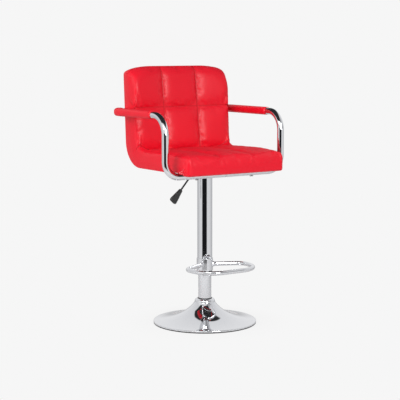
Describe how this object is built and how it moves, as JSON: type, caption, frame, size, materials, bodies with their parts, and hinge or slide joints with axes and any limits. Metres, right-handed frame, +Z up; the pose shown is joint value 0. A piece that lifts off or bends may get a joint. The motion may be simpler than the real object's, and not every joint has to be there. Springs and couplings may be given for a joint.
{
  "type": "counter stool",
  "caption": "Height-adjustable swivel counter stool with a quilted red seat and back, chrome arm loop, footrest, release lever and trumpet base.",
  "frame": {"origin": "on the column's axis, level with the floor that the base stands on", "axes": "+Z up along the column; -Y forwards, the way the sitter faces; +X to the sitter's left"},
  "size_m": [0.539, 0.4651, 0.955],
  "materials": {
    "rubber": "matt black moulded rubber",
    "black_plastic": "satin black moulded plastic",
    "cast_iron": "rough black-painted casting",
    "chrome": "polished chrome plate on steel",
    "zinc_steel": "bright zinc plate",
    "black_steel": "satin black powder coat",
    "plywood": "raw bent plywood",
    "red_hide": "smooth red leatherette, slightly glossy, over foam",
    "dust_cloth": "black non-woven lining cloth"
  },
  "bodies": {
    "base": {"base_rubber_ring": "rubber", "base_cover": "black_plastic", "base_weight": "cast_iron", "base_shell": "chrome", "neck_ring": "black_plastic", "lower_tube": "chrome", "guide_bush": "black_plastic", "foot_bolt_1": "zinc_steel", "foot_bolt_2": "zinc_steel", "foot_bolt_3": "zinc_steel", "foot_bolt_4": "zinc_steel", "bearing_washer_lower": "zinc_steel", "thrust_bearing": "zinc_steel"},
    "rod": {"bearing_washer_upper": "zinc_steel", "piston_rod": "zinc_steel", "rod_clip": "zinc_steel", "rod_buffer": "rubber", "piston": "black_plastic"},
    "seat": {"sleeve_top_bush": "black_plastic", "sleeve_end_bush": "black_plastic", "upper_sleeve": "chrome", "footrest": "chrome", "arm_frame": "chrome", "lever_pivot": "zinc_steel", "plate_nut_1": "zinc_steel", "plate_nut_2": "zinc_steel", "plate_nut_3": "zinc_steel", "plate_nut_4": "zinc_steel", "arm_nut_under_left": "zinc_steel", "arm_nut_under_right": "zinc_steel", "arm_nut_rear_left": "zinc_steel", "arm_nut_rear_right": "zinc_steel", "plate_bolt_1": "zinc_steel", "plate_bolt_2": "zinc_steel", "plate_bolt_3": "zinc_steel", "plate_bolt_4": "zinc_steel", "arm_bolt_under_left": "zinc_steel", "arm_bolt_under_right": "zinc_steel", "arm_bolt_rear_left": "zinc_steel", "arm_bolt_rear_right": "zinc_steel", "gas_cylinder": "black_steel", "seat_plate": "black_steel", "footrest_screw": "black_steel", "seat_shell": "plywood", "seat_cushion": "red_hide", "back_cushion": "red_hide", "rear_cover": "red_hide", "arm_pad_left": "red_hide", "arm_pad_right": "red_hide", "dust_cover": "dust_cloth"},
    "lever": {"lever_rod": "black_steel", "lever_grip": "black_plastic"},
    "valve": {"valve_pin": "zinc_steel"}
  },
  "joints": [
    {"name": "seat_swivel", "type": "hinge", "parent": "base", "child": "rod", "pos_m": [0, 0, 0.021], "axis": [0, 0, 1], "continuous": true},
    {"name": "seat_lift", "type": "slide", "parent": "rod", "child": "seat", "axis": [0, 0, 1], "range_m": [-0.078, 0.132]},
    {"name": "lever_turn", "type": "hinge", "parent": "seat", "child": "lever", "pos_m": [-0.033, 0, 0.5655], "axis": [0, 1, 0], "range_deg": [0, 6], "stiffness_Nm_per_rad": 4, "springref_deg": -2.86},
    {"name": "valve_press", "type": "slide", "parent": "seat", "child": "valve", "axis": [0, 0, -1], "range_m": [0, 0.0039]}
  ],
  "couplings": [
    {"joint": "valve_press", "follows": "lever_turn", "m_per_rad": 0.036}
  ]
}
